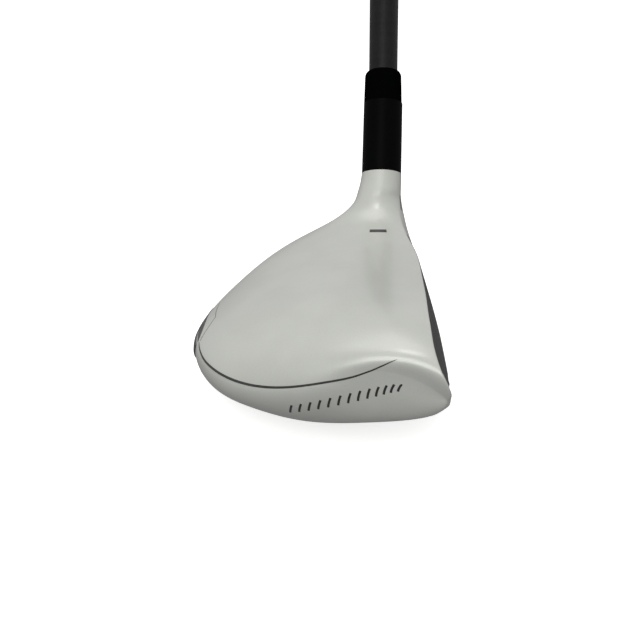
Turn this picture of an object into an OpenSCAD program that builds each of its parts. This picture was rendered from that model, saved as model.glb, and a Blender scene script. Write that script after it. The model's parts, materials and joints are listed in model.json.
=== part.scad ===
// Adjustable hybrid golf club, right handed, millimetres.
// Address position: +Z up, +X toward the target, -Y toward the toe.
// The hosel axis meets the ground plane at the origin and leans 30 degrees toward +Y.

/* [Club] */
// playing length along the shaft, ground to butt
club_len = 1016; // [960:4:1040]
// grip length
grip_len = 268; // [240:4:284]
// grip outside diameter at the butt
grip_butt_d = 26.6; // [25:0.2:29]
// grip outside diameter at its mouth
grip_mouth_d = 18.6; // [18:0.2:20]
// vent hole diameter in the grip cap
vent_d = 3; // [2:0.2:5]

/* [Shaft] */
// shaft diameter at the parallel tip
tip_d = 9.4; // [9.2:0.05:9.45]
// shaft diameter at the parallel butt
butt_d = 15.24; // [14.4:0.04:15.6]
// graphite wall at the tip
shaft_wall = 1.7; // [1.2:0.1:2.2]

/* [Adapter] */
// exposed length of the adapter sleeve
sleeve_len = 24.2; // [20:0.2:28]
// angle of the shaft bore in the sleeve
bore_tilt = 0.7; // [0:0.1:0.8]
// length of the ferrule ring
ferrule_len = 10.9; // [8:0.1:14]
// spline teeth on the sleeve
spline_teeth = 12; // [6:1:16]

/* [Head] */
// shell wall of sole, skirt and crown
wall = 1.3; // [1.1:0.1:1.5]
// hitting face thickness
face_wall = 2.2; // [1.8:0.1:2.6]
// badge thickness proud of the skirt
badge_lift = 0.5; // [0.3:0.1:0.8]

/* [Hidden] */
$fn = 64;
gap = 0.05;
// cuts run past the solid by this much
past = 4;

// hosel axis
lie = 60;
axis_dir = [0, cos(lie), sin(lie)];
axis_side = [0, -sin(lie), cos(lie)];
ring_t = 55;
ring_r = 6.72;
neck_wall = 0.6;
bore_mid_t = 70;

// hosel bore, measured along the axis from the ground
port_r = 5;
seat_t = 12.5;
seat_top_t = 15;
liner_r = ring_r - neck_wall - 0.07;
liner_wall = 0.42;
liner_bore_r = liner_r - liner_wall;
boss_r = 6.9;
boss_top_t = 40;
boss_cut_z = 4.6;
boss_cut_tilt = 24;
spline_t0 = 19;
spline_t1 = 27.4;
spline_depth = 0.5;
spline_w = 1.5;

// adapter sleeve
sleeve_t0 = 20.4;
sleeve_r = liner_bore_r - gap;
sleeve_low_r = ring_r - 0.06;
sleeve_top_r = 6.55;
sleeve_top_t = ring_t + sleeve_len;
shaft_seat_t = 34;
shaft_bore_r = tip_d / 2 + gap;

// hosel screw, M5 x 0.8
screw_r = 2.45;
screw_hole_r = 2.5;
screw_head_r = 4;
screw_head_t = 7.5;
screw_shank_t = 27.9;
washer_h = 1;
drive_r = 2.1;
drive_h = 2.6;
retainer_h = 0.8;

// shaft
shaft_tip_t = 34.2;
taper_t = sleeve_top_t + ferrule_len;
shaft_neck_r = 4.85;
butt_top_t = club_len - 4;
parallel_t = club_len - grip_len - 30;
grip_t0 = club_len - grip_len;
tape_t = 0.25;
cap_h = 4;

// head design stations from heel to toe:
// [topline y, z, offset], [crown edge], [sole edge], [leading edge y, z, offset], level, roundness, bow
STATIONS = [
  [[ 18.0, 40.8,  0.6], [ -9.8, 21.8, 38.1], [ -3.8, 27.6, 34.2], [ 26.2, 34.2, -1.0],  0.0, 1.0, 0.0],
  [[  9.5, 36.8, -0.5], [-15.8, 20.8, 33.0], [ -6.0, 24.6, 23.8], [ 22.8, 25.3, -1.2],  0.0, 0.5, 0.0],
  [[ -2.0, 35.4,  0.0], [-24.7, 16.6, 29.3], [-11.0, 20.0, 13.1], [ 18.0, 16.4, -0.7],  6.5, 0.2, 0.0],
  [[-13.5, 35.3,  0.7], [-35.9,  5.2, 26.2], [-18.6, 12.0,  6.4], [ 11.0, 10.1,  0.6],  3.2, 0.0, 0.0],
  [[-25.0, 35.5,  0.4], [-46.2,-11.5, 22.3], [-28.6,  0.0,  3.6], [  2.0,  5.9,  1.0],  0.0, 0.0, 0.0],
  [[-37.0, 36.1,  0.1], [-53.5,-27.5, 19.1], [-36.5,-13.0,  2.6], [-10.0,  2.9,  0.2], -1.4, 0.0, 0.0],
  [[-48.0, 36.8,  0.0], [-54.7,-42.5, 17.5], [-39.5,-28.0,  2.2], [-22.0,  1.8, -0.6], -1.8, 0.0, 0.0],
  [[-58.0, 37.3, -0.2], [-48.3,-57.0, 17.5], [-36.5,-43.0,  2.3], [-33.0,  3.1, -1.0], -1.4, 0.0, 0.0],
  [[-66.8, 37.0, -0.2], [-38.2,-66.9, 18.9], [-28.6,-54.8,  4.8], [-43.4,  6.9, -1.2], -0.2, 0.0, 0.0],
  [[-73.7, 35.8, -0.3], [-27.2,-73.2, 22.2], [-18.0,-64.1,  6.9], [-53.1, 12.4, -0.6],  2.1, 0.0, 1.0],
  [[-78.2, 33.6, -0.1], [-15.0,-76.2, 26.1], [ -5.4,-70.4, 11.4], [-62.7, 17.7, -0.2],  6.4, 0.0, 2.5],
  [[-81.1, 30.1,  0.3], [ -1.4,-77.2, 27.9], [  8.1,-75.7, 17.3], [-70.9, 21.8, -0.3], 13.2, 0.0, 2.0]];
TOE = [-80.4, 24.0, -0.5];
// neck rings: height along the axis, radius, shift along X
NECK = [
  [54.95, ring_r, 0],
  [52.5, ring_r + 0.16, -0.16],
  [50, ring_r + 0.43, -0.43],
  [47.5, ring_r + 0.8, -0.8]];
RING_ANGLES = [-45, 45, 180, 245, 315];

// surface grid
span_steps = 3;
face_n = 4;
crown_n = 10;
skirt_n = 7;
sole_n = 6;
ring_n = face_n + crown_n + skirt_n + sole_n;
neck_rows = len(NECK);
row_count = neck_rows + len(STATIONS) + 1;
last_i = (row_count - 1) * span_steps;
core_i = last_i - 3;
toe_shift_i = 38;
toe_shift = 2.2;
toe_shrink = 0.2;

// windows in the shell, as grid rows and columns
crown_i = [19, 42];
crown_j = [face_n + 1, face_n + crown_n];
face_i = [17, 44];
face_j = [0, face_n];
badge_i = [26, 30];
badge_j = [face_n + crown_n, face_n + crown_n + 5];

function unit(v) = v / max(norm(v), 1e-6);
function flat(v) = [v[0], v[1], 0];
function up(z) = [0, 0, z];
function mix(a, b, t) = a * (1 - t) + b * t;
function bez(a, b, c, d, t) =
  a * pow(1 - t, 3) + b * 3 * t * pow(1 - t, 2) + c * 3 * t * t * (1 - t) + d * pow(t, 3);

// hitting face: loft plane with a slight heel-to-toe bulge
loft_slope = 0.362;
face_front = 8.4;
face_top_z = 36;
face_mid_y = -35;
bulge_d = 1340;
function face_x(y, z) = face_front + (face_top_z - z) * loft_slope - pow(y - face_mid_y, 2) / bulge_d;
function on_face(q) = [face_x(q[0], q[1]) + q[2], q[0], q[1]];

// ring round the hosel axis as four arcs, twelve control points
function ring_pt(t, r, a) = axis_dir * t + r * (cos(a) * [1, 0, 0] + sin(a) * axis_side);
function ring_tan(a) = cos(a) * axis_side - sin(a) * [1, 0, 0];
function arc_grip(a, b, r) = 4 / 3 * tan((b - a) / 4) * r;
function arc_ctrl(t, r, a, b) = [
  ring_pt(t, r, a),
  ring_pt(t, r, a) + ring_tan(a) * arc_grip(a, b, r),
  ring_pt(t, r, b) - ring_tan(b) * arc_grip(a, b, r)];
function ring_row(t, r, dx = 0) = [
  for (s = [0 : 3]) for (p = arc_ctrl(t, r, RING_ANGLES[s], RING_ANGLES[s + 1])) p + [dx, 0, 0]];

// face, crown, skirt and sole curves of one station
function face_bow(bow) = [0.3, 0, 0] + bow * [0.095, -0.375, -0.325];
function face_curve(lead, top, bow) = [
  lead,
  mix(lead, top, 0.33) + face_bow(bow),
  mix(lead, top, 0.67) + face_bow(bow)];
function crown_curve(top, edge) = [
  top,
  top + flat(edge - top) * 0.36 + up(0.06 * norm(flat(edge - top))),
  edge - flat(edge - top) * 0.16 + up((top[2] - edge[2]) * 0.5 + 1.2)];
function sole_dir(edge, base, lead) = unit(unit(lead - base) + unit(base - edge) * 0.28);
function skirt_curve(edge, base, lead) = [
  edge,
  edge + unit(flat(edge - base)) * 3 - up((edge[2] - base[2]) * 0.46),
  base - sole_dir(edge, base, lead) * norm(edge - base) * 0.5];
function sole_curve(edge, base, lead, level, bow) = [
  base,
  base + sole_dir(edge, base, lead) * norm(lead - base) * 0.3,
  [mix(lead, base, 0.25)[0], mix(lead, base, 0.25)[1] - bow, mix(lead[2], level, 0.6)]];
function station_ctrl(top, edge, base, lead, level, bow) = concat(
  face_curve(lead, top, bow),
  crown_curve(top, edge),
  skirt_curve(edge, base, lead),
  sole_curve(edge, base, lead, level, bow));
function station_row(s) = round_off(
  soften(station_ctrl(on_face(s[0]), s[1], s[2], on_face(s[3]), s[4], s[6]), min(1, s[6] / 2)),
  ring_row(45, 7), s[5]);

// crown and skirt run into each other without an edge toward the toe
function edge_dir(c) = unit(unit(c[6] - c[5]) + unit(c[7] - c[6]));
function soften(c, w) = [
  for (k = [0 : 11])
    k == 5 ? mix(c[5], c[6] - edge_dir(c) * norm(c[6] - c[5]), w)
    : k == 7 ? mix(c[7], c[6] + edge_dir(c) * norm(c[7] - c[6]), w)
    : c[k]];

// heel stations borrow the handles of a ring in proportion to their roundness
function handle_at(c, ref, k, near, w) =
  let (size = norm(c[(near + 3) % 12] - c[near]) / norm(ref[(near + 3) % 12] - ref[near]))
  let (own = k - near == 1 ? near : (near + 3) % 12)
  mix(c[k], c[own] + (ref[k] - ref[own]) * size, w);
function round_off(c, ref, w) = w == 0 ? c : [
  for (k = [0 : 11]) k % 3 == 0 ? c[k] : handle_at(c, ref, k, k - k % 3, w)];

toe_pt = on_face(TOE);
ROWS = concat(
  [for (n = NECK) ring_row(n[0], n[1], n[2])],
  [for (s = STATIONS) station_row(s)],
  [[for (k = [0 : 11]) toe_pt]]);

// smooth run through the station rows: a cubic spline whose knots are set back from them
function knot(i) = ROWS[i] * 4 / 3 - (ROWS[i - 1] + ROWS[i + 1]) / 6;
last_row = knot(row_count - 2);
tip_mid = centre(last_row);  // the toe closes in a dome over the middle of the last loop
KNOTS = concat(
  [ROWS[0] * 2 - knot(1), ROWS[0]],
  [for (i = [1 : row_count - 2]) knot(i)],
  [[for (p = last_row) toe_pt * 1.5 - tip_mid * 0.5], [for (p = last_row) tip_mid * 2 - p]]);
function ctrl_row(i, t) =
  (KNOTS[i] * pow(1 - t, 3) + KNOTS[i + 1] * (3 * pow(t, 3) - 6 * t * t + 4)
   + KNOTS[i + 2] * (1 + 3 * t + 3 * t * t - 3 * pow(t, 3)) + KNOTS[i + 3] * pow(t, 3)) / 6;
SEG_N = [face_n, crown_n, skirt_n, sole_n];
function loop_pts(c) = [
  for (s = [0 : 3]) for (j = [0 : SEG_N[s] - 1])
    bez(c[3 * s], c[3 * s + 1], c[3 * s + 2], c[(3 * s + 3) % 12], j / SEG_N[s])];
OUTER = [
  for (i = [0 : last_i - 1]) loop_pts(ctrl_row(floor(i / span_steps), (i % span_steps) / span_steps))];

// outward normals from the neighbours of each grid point
function wrap(j) = (j + ring_n) % ring_n;
function at(g, i, j) = g[max(0, min(i, last_i - 1))][wrap(j)];
function normal_at(i, j) =
  unit(cross(at(OUTER, i, j + 1) - at(OUTER, i, j - 1), at(OUTER, i + 1, j) - at(OUTER, i - 1, j)));
NORMALS = [for (i = [0 : last_i - 1]) [for (j = [0 : ring_n - 1]) normal_at(i, j)]];

// wall thickness: thin at the neck, thicker behind the face
function is_face(j) = j > 0 && j < face_n;
function share(i, a, b) = max(0, min(1, (i - a) / (b - a)));
function body_wall(i, j) = is_face(j) ? mix(face_wall, wall, share(i, toe_shift_i, core_i - 2)) : wall;
function wall_at(i, j) = mix(neck_wall, body_wall(i, j), share(i, 10, 16));
function heelward(i) = [0, toe_shift * share(i, toe_shift_i, core_i), 0];
function inset(i, j) = OUTER[i][j] - NORMALS[i][j] * wall_at(i, j);
function mean(v) = v * [for (x = v) 1] / len(v);
function centre(g) = [for (k = [0 : 2]) mean([for (p = g) p[k]])];
MIDS = [for (i = [0 : core_i]) centre(OUTER[i])];
function shrunk(i, j) = mix(OUTER[i][j], MIDS[i], toe_shrink);
function core_at(i, j) = mix(inset(i, j), shrunk(i, j), share(i, core_i - 5, core_i - 1)) + heelward(i);
CORE = [for (i = [0 : core_i]) [for (j = [0 : ring_n - 1]) core_at(i, j)]];
core_mid = centre(CORE[core_i]);
INNER = [
  for (i = [0 : last_i - 1]) i <= core_i ? CORE[i]
    : [for (p = CORE[core_i]) mix(p, core_mid, (i - core_i) / (last_i - core_i))]];

function inside(v, r) = v >= r[0] && v < r[1];
function open_cell(i, j) =
  (inside(i, crown_i) && inside(j, crown_j)) || (inside(i, face_i) && inside(j, face_j));
// grid cells as faces; the outer sheet comes first in the points and the inner one starts at n
function quad(a, b, c, d) = [[a, c, b], [a, d, c]];
function spot(i, j, cols) = i * cols + j % cols;
function outer_cell(i, j, cols) = quad(
  spot(i, j, cols), spot(i, j + 1, cols), spot(i + 1, j + 1, cols), spot(i + 1, j, cols));
function inner_cell(i, j, cols, n) = quad(
  n + spot(i, j, cols), n + spot(i + 1, j, cols), n + spot(i + 1, j + 1, cols), n + spot(i, j + 1, cols));
function edge_cell(a, b, n) = quad(a, b, n + b, n + a);
function rim_cell(a, b, n) = quad(b, n + b, n + a, a);

// closed sheet between two grids over a block of cells
module sheet(low, high, ir, jr) {
  cols = jr[1] - jr[0] + 1;
  rows = ir[1] - ir[0] + 1;
  n = rows * cols;
  pts = concat(
    [for (i = [ir[0] : ir[1]]) for (j = [jr[0] : jr[1]]) at(high, i, j)],
    [for (i = [ir[0] : ir[1]]) for (j = [jr[0] : jr[1]]) at(low, i, j)]);
  faces = concat(
    [for (i = [0 : rows - 2]) for (j = [0 : cols - 2]) each outer_cell(i, j, cols)],
    [for (i = [0 : rows - 2]) for (j = [0 : cols - 2]) each inner_cell(i, j, cols, n)],
    [for (i = [0 : rows - 2]) each rim_cell(spot(i, 0, cols), spot(i + 1, 0, cols), n)],
    [for (i = [1 : rows - 1]) each rim_cell(i * cols + cols - 1, i * cols - 1, n)],
    [for (j = [0 : cols - 2]) each rim_cell(j + 1, j, n)],
    [for (j = [n - cols : n - 2]) each rim_cell(j, j + 1, n)]);
  polyhedron(points = pts, faces = faces, convexity = 6);
}

// rim faces of one shell window
function rim(i, j, ni, nj, n) = edge_cell(spot(i, j, ring_n), spot(ni, nj, ring_n), n);
function window_rim(ir, jr, n) = concat(
  [for (j = [jr[0] : jr[1] - 1]) each rim(ir[0], j, ir[0], j + 1, n)],
  [for (j = [jr[0] : jr[1] - 1]) each rim(ir[1], j + 1, ir[1], j, n)],
  [for (i = [ir[0] : ir[1] - 1]) each rim(i + 1, jr[0], i, jr[0], n)],
  [for (i = [ir[0] : ir[1] - 1]) each rim(i, jr[1], i + 1, jr[1], n)]);

module shell_solid() {
  n = last_i * ring_n + 1;
  end_i = last_i - 1;
  last_j = ring_n - 1;
  pts = concat([for (g = OUTER) each g], [toe_pt], [for (g = INNER) each g], [core_mid]);
  faces = concat(
    [for (i = [0 : end_i - 1]) for (j = [0 : last_j])
      if (!open_cell(i, j)) each outer_cell(i, j, ring_n)],
    [for (i = [0 : end_i - 1]) for (j = [0 : last_j])
      if (!open_cell(i, j)) each inner_cell(i, j, ring_n, n)],
    [for (j = [0 : last_j]) [spot(end_i, j + 1, ring_n), spot(end_i, j, ring_n), n - 1]],
    [for (j = [0 : last_j]) [n + spot(end_i, j, ring_n), n + spot(end_i, j + 1, ring_n), 2 * n - 1]],
    [for (j = [0 : last_j]) each rim(0, j + 1, 0, j, n)],
    window_rim(crown_i, crown_j, n),
    window_rim(face_i, face_j, n));
  polyhedron(points = pts, faces = faces, convexity = 10);
}

module on_axis(t) {
  rotate([lie - 90, 0, 0]) translate([0, 0, t]) children();
}

module on_shaft(t) {
  rotate([lie - 90, 0, 0])
    translate([0, 0, bore_mid_t])
      rotate([0, -bore_tilt, 0])
        translate([0, 0, t - bore_mid_t])
          children();
}

// outside of the hosel liner, also cut from the shell with a clearance
module liner_body(grow) {
  on_axis(boss_top_t) cylinder(r = liner_r + grow, h = ring_t - boss_top_t);
  intersection() {
    on_axis(0) cylinder(r = boss_r + grow, h = boss_top_t);
    translate([0, 0, boss_cut_z - grow])
      rotate([boss_cut_tilt, 0, 0])
        translate([-boss_top_t, -boss_top_t, 0]) cube(2 * boss_top_t);
  }
}

module head_shell() {
  color([0.93, 0.93, 0.90])
    difference() {
      shell_solid();
      on_axis(-past) cylinder(r = port_r, h = seat_t + past);
      liner_body(gap / 2);
    }
}

module crown_panel() {
  color([0.94, 0.94, 0.91]) sheet(INNER, OUTER, crown_i, crown_j);
}

module face_plate() {
  color([0.16, 0.17, 0.18]) sheet(INNER, OUTER, face_i, face_j);
}

module rear_badge() {
  proud = [for (i = [0 : last_i - 1]) [for (j = [0 : ring_n - 1]) OUTER[i][j] + NORMALS[i][j] * badge_lift]];
  color([0.2, 0.2, 0.21]) sheet(OUTER, proud, badge_i, badge_j);
}

module spline_teeth_2d(r, grow) {
  for (k = [0 : spline_teeth - 1])
    rotate(k * 360 / spline_teeth)
      translate([r - spline_depth / 2, 0])
        square([spline_depth + 0.6, spline_w + grow], center = true);
}

module hosel_liner() {
  color([0.62, 0.63, 0.65])
    difference() {
      liner_body(0);
      on_axis(-past) cylinder(r = port_r, h = seat_t + past);
      on_axis(seat_t - past) cylinder(r = screw_hole_r, h = seat_top_t - seat_t + 2 * past);
      on_axis(seat_top_t) cylinder(r = liner_bore_r, h = spline_t0 - seat_top_t);
      on_axis(spline_t1) cylinder(r = liner_bore_r, h = ring_t - spline_t1 + past);
      on_axis(spline_t0 - 0.5)
        linear_extrude(spline_t1 - spline_t0 + 1)
          intersection() {
            circle(r = liner_bore_r);
            union() {
              circle(r = sleeve_r - spline_depth + gap);
              spline_teeth_2d(sleeve_r, 2 * gap);
            }
          }
    }
}

module hosel_screw() {
  color([0.25, 0.25, 0.27])
    on_axis(screw_head_t)
      difference() {
        union() {
          cylinder(r = screw_head_r, h = seat_t - washer_h - screw_head_t);
          cylinder(r = screw_r, h = screw_shank_t - screw_head_t);
        }
        translate([0, 0, -1]) cylinder(r = drive_r, h = drive_h + 1, $fn = 6);
      }
}

module screw_washer() {
  color([0.7, 0.7, 0.72])
    on_axis(seat_t - washer_h)
      difference() {
        cylinder(r = port_r - gap, h = washer_h);
        translate([0, 0, -1]) cylinder(r = screw_r + 0.2, h = washer_h + 2);
      }
}

module screw_retainer() {
  color([0.12, 0.12, 0.12])
    on_axis(seat_top_t + 2 * gap)
      difference() {
        cylinder(r = 3.9, h = retainer_h);
        translate([0, 0, -1]) cylinder(r = screw_r, h = retainer_h + 2);
      }
}

module adapter_sleeve() {
  color([0.07, 0.07, 0.075])
    difference() {
      union() {
        on_axis(ring_t) cylinder(r1 = sleeve_low_r, r2 = sleeve_top_r, h = sleeve_len);
        on_axis(spline_t1) cylinder(r = sleeve_r, h = ring_t - spline_t1);
        on_axis(sleeve_t0)
          linear_extrude(spline_t1 - sleeve_t0)
            intersection() {
              circle(r = sleeve_r);
              union() {
                circle(r = sleeve_r - spline_depth);
                spline_teeth_2d(sleeve_r, 0);
              }
            }
      }
      on_axis(sleeve_t0 - 1) cylinder(r = screw_hole_r, h = shaft_seat_t - sleeve_t0 - 1);
      on_shaft(shaft_seat_t) cylinder(r = shaft_bore_r, h = sleeve_len + 30);
    }
}

module ferrule_ring() {
  low_r = 6.42;
  top_r = 6.2;
  nose = 2;
  color([0.04, 0.04, 0.045])
    difference() {
      on_shaft(sleeve_top_t + 0.1)
        rotate_extrude()
          polygon(concat(
            [[0, 0], [low_r, 0], [top_r, ferrule_len - nose]],
            [for (a = [15 : 15 : 90])
              [top_r - nose * 0.6 * (1 - cos(a)), ferrule_len - nose + nose * sin(a)]],
            [[0, ferrule_len]]));
      on_axis(sleeve_top_t - 1) translate([-20, -20, -20]) cube([40, 40, 21]);
      on_shaft(sleeve_top_t - 5) cylinder(r = tip_d / 2, h = ferrule_len + 10);
    }
}

module shaft() {
  tip_bore_r = tip_d / 2 - shaft_wall;
  butt_bore_r = butt_d / 2 - 1;
  color([0.17, 0.17, 0.18])
    on_shaft(0)
      difference() {
        union() {
          translate([0, 0, shaft_tip_t]) cylinder(r = tip_d / 2, h = taper_t + 0.2 - shaft_tip_t);
          translate([0, 0, taper_t + 0.2])
            cylinder(r1 = shaft_neck_r, r2 = butt_d / 2, h = parallel_t - taper_t - 0.2);
          translate([0, 0, parallel_t]) cylinder(r = butt_d / 2, h = butt_top_t - parallel_t);
        }
        translate([0, 0, shaft_tip_t - 1]) cylinder(r = tip_bore_r, h = taper_t - shaft_tip_t + 1);
        translate([0, 0, taper_t])
          cylinder(r1 = tip_bore_r, r2 = butt_bore_r, h = parallel_t - taper_t);
        translate([0, 0, parallel_t]) cylinder(r = butt_bore_r, h = butt_top_t - parallel_t + 1);
      }
}

module tip_plug() {
  color([0.66, 0.5, 0.34])
    on_shaft(shaft_tip_t + 1) cylinder(r = tip_d / 2 - shaft_wall, h = 14);
}

module grip_tape() {
  color([0.85, 0.82, 0.74])
    on_shaft(grip_t0 + 4)
      difference() {
        cylinder(r = butt_d / 2 + tape_t, h = grip_len - 8);
        translate([0, 0, -1]) cylinder(r = butt_d / 2, h = grip_len);
      }
}

module grip_sleeve() {
  lip_h = 3;
  color([0.05, 0.05, 0.05])
    on_shaft(grip_t0)
      difference() {
        union() {
          cylinder(r1 = grip_mouth_d / 2, r2 = grip_butt_d / 2, h = grip_len - cap_h);
          cylinder(r = grip_mouth_d / 2 + 0.5, h = lip_h);
        }
        translate([0, 0, -1]) cylinder(r = butt_d / 2, h = 5);
        translate([0, 0, 4]) cylinder(r = butt_d / 2 + tape_t, h = grip_len - 8);
        translate([0, 0, grip_len - cap_h - 1]) cylinder(r = butt_d / 2, h = 3);
      }
}

module grip_cap() {
  edge = 1.5;
  color([0.06, 0.06, 0.065])
    on_shaft(club_len - cap_h)
      difference() {
        rotate_extrude()
          polygon(concat(
            [[0, 0], [grip_butt_d / 2, 0]],
            [for (a = [0 : 15 : 90])
              [grip_butt_d / 2 - edge + edge * cos(a), cap_h - edge + edge * sin(a)]],
            [[0, cap_h]]));
        translate([0, 0, -1]) cylinder(d = vent_d, h = cap_h + 2);
      }
}

head_shell();
crown_panel();
face_plate();
rear_badge();
hosel_liner();
hosel_screw();
screw_washer();
screw_retainer();
adapter_sleeve();
ferrule_ring();
shaft();
tip_plug();
grip_tape();
grip_sleeve();
grip_cap();
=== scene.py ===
import json
import math

import bmesh
import bpy
import numpy as np
from mathutils import Matrix, Vector
from mathutils.kdtree import KDTree


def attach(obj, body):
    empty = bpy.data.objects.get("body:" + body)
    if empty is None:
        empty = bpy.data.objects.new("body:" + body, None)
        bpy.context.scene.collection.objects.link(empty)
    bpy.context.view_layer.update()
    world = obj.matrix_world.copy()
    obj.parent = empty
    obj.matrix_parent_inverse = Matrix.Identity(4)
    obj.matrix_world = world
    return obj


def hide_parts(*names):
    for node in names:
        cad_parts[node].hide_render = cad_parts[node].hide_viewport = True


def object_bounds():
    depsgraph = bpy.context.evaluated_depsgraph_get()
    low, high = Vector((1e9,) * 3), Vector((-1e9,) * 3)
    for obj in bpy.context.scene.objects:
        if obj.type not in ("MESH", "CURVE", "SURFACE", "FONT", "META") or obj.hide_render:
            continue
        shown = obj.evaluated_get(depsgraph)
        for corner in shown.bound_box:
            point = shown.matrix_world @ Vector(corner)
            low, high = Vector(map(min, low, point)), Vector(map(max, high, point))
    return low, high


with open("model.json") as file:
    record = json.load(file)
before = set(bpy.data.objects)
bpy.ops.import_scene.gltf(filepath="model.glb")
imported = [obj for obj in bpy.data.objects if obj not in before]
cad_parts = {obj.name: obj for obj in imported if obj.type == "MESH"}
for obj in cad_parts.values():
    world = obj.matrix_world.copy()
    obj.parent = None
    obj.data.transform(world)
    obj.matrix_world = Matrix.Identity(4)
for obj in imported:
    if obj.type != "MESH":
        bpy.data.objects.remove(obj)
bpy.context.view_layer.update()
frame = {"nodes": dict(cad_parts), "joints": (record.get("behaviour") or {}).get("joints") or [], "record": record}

MM = 0.001
joints = {j["name"]: j for j in frame["joints"]}
mounts = {m["name"]: m for m in frame["record"]["mounts"]}


def unit(v):
    v = np.asarray(v, float)
    return v / max(np.linalg.norm(v), 1e-9)


# ---------------------------------------------------------------- frames
AXIS = -unit(joints["head_release"]["axis"])  # hosel axis, upward
SIDE = np.array([0.0, -AXIS[2], AXIS[1]])
ACROSS = np.array([1.0, 0.0, 0.0])
SHAFT_AXIS = unit(mounts["cap_vent"]["axis"])
SHAFT_TOP = np.array(mounts["cap_vent"]["pos_m"], float)
RING_R = 6.72  # top ring of the hosel, mm


def placement(x, y, z, origin):
    """4x4 matrix from three directions and an origin."""
    m = Matrix.Identity(4)
    for k, col in enumerate((x, y, z)):
        for r in range(3):
            m[r][k] = col[r]
    m.translation = Vector(origin)
    return m


def axis_frame(origin, direction):
    """4x4 matrix whose Z runs along direction from origin."""
    z = unit(direction)
    x = unit(ACROSS - z * (ACROSS @ z))
    return placement(x, np.cross(z, x), z, origin)


# ---------------------------------------------------------------- head surface, in millimetres
# [topline y, z, offset], [crown edge], [sole edge], [leading edge y, z, offset], level, roundness, bow
STATIONS = [
    ([18.0, 40.8, 0.6], [-9.8, 21.8, 38.1], [-3.8, 27.6, 34.2], [26.2, 34.2, -1.0], 0.0, 1.0, 0.0),
    ([9.5, 36.8, -0.5], [-15.8, 20.8, 33.0], [-6.0, 24.6, 23.8], [22.8, 25.3, -1.2], 0.0, 0.5, 0.0),
    ([-2.0, 35.4, 0.0], [-24.7, 16.6, 29.3], [-11.0, 20.0, 13.1], [18.0, 16.4, -0.7], 6.5, 0.2, 0.0),
    ([-13.5, 35.3, 0.7], [-35.9, 5.2, 26.2], [-18.6, 12.0, 6.4], [11.0, 10.1, 0.6], 3.2, 0.0, 0.0),
    ([-25.0, 35.5, 0.4], [-46.2, -11.5, 22.3], [-28.6, 0.0, 3.6], [2.0, 5.9, 1.0], 0.0, 0.0, 0.0),
    ([-37.0, 36.1, 0.1], [-53.5, -27.5, 19.1], [-36.5, -13.0, 2.6], [-10.0, 2.9, 0.2], -1.4, 0.0, 0.0),
    ([-48.0, 36.8, 0.0], [-54.7, -42.5, 17.5], [-39.5, -28.0, 2.2], [-22.0, 1.8, -0.6], -1.8, 0.0, 0.0),
    ([-58.0, 37.3, -0.2], [-48.3, -57.0, 17.5], [-36.5, -43.0, 2.3], [-33.0, 3.1, -1.0], -1.4, 0.0, 0.0),
    ([-66.8, 37.0, -0.2], [-38.2, -66.9, 18.9], [-28.6, -54.8, 4.8], [-43.4, 6.9, -1.2], -0.2, 0.0, 0.0),
    ([-73.7, 35.8, -0.3], [-27.2, -73.2, 22.2], [-18.0, -64.1, 6.9], [-53.1, 12.4, -0.6], 2.1, 0.0, 1.0),
    ([-78.2, 33.6, -0.1], [-15.0, -76.2, 26.1], [-5.4, -70.4, 11.4], [-62.7, 17.7, -0.2], 6.4, 0.0, 2.5),
    ([-81.1, 30.1, 0.3], [-1.4, -77.2, 27.9], [8.1, -75.7, 17.3], [-70.9, 21.8, -0.3], 13.2, 0.0, 2.0),
]
TOE = (-80.4, 24.0, -0.5)
# neck rings: height along the axis, radius, shift along X
NECK = (
    (54.95, RING_R, 0), (52.5, RING_R + 0.16, -0.16), (50, RING_R + 0.43, -0.43), (47.5, RING_R + 0.8, -0.8),
)
RING_ANGLES = (-45, 45, 180, 245, 315)  # where the four curves of a ring meet
REF_RING = (45, 7)  # height and radius of the ring that heel stations borrow from
FACE, CROWN, SKIRT = 0, 1, 2  # curve numbers; the sole is the fourth
FACE_FRONT, FACE_TOP, FACE_SLOPE = 8.4, 36, 0.362  # X of the loft plane at its top, height there, slope
BULGE_Y, BULGE_D = -35, 1340  # middle of the bulge and twice its radius
FACE_OUT = np.array([0.3, 0, 0])  # how far the face swells between its edges
BOW_OUT = np.array([0.095, -0.375, -0.325])  # more of it for each unit of bow


def flat(v):
    return np.array([v[0], v[1], 0.0])


def up(z):
    return np.array([0.0, 0.0, z])


def mix(a, b, t):
    return a * (1 - t) + b * t


def on_face(q):
    """Loft plane with a slight heel-to-toe bulge."""
    y, z, off = q
    return np.array([FACE_FRONT + (FACE_TOP - z) * FACE_SLOPE - (y - BULGE_Y) ** 2 / BULGE_D + off, y, z])


def ring_row(t, r, dx=0):
    """Circle round the hosel axis as twelve control points."""
    out = []
    for a, b in zip(RING_ANGLES, RING_ANGLES[1:]):
        a, b = math.radians(a), math.radians(b)
        grip = 4 / 3 * math.tan((b - a) / 4) * r
        spot = [AXIS * t + r * (math.cos(x) * ACROSS + math.sin(x) * SIDE) for x in (a, b)]
        turn = [math.cos(x) * SIDE - math.sin(x) * ACROSS for x in (a, b)]
        out += [spot[0], spot[0] + turn[0] * grip, spot[1] - turn[1] * grip]
    return [p + ACROSS * dx for p in out]


def soften(row, w):
    """Crown and skirt run into each other without an edge toward the toe."""
    before, after = np.linalg.norm(row[6] - row[5]), np.linalg.norm(row[7] - row[6])
    run = unit(unit(row[6] - row[5]) + unit(row[7] - row[6]))
    row[5] = mix(row[5], row[6] - run * before, w)
    row[7] = mix(row[7], row[6] + run * after, w)


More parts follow.
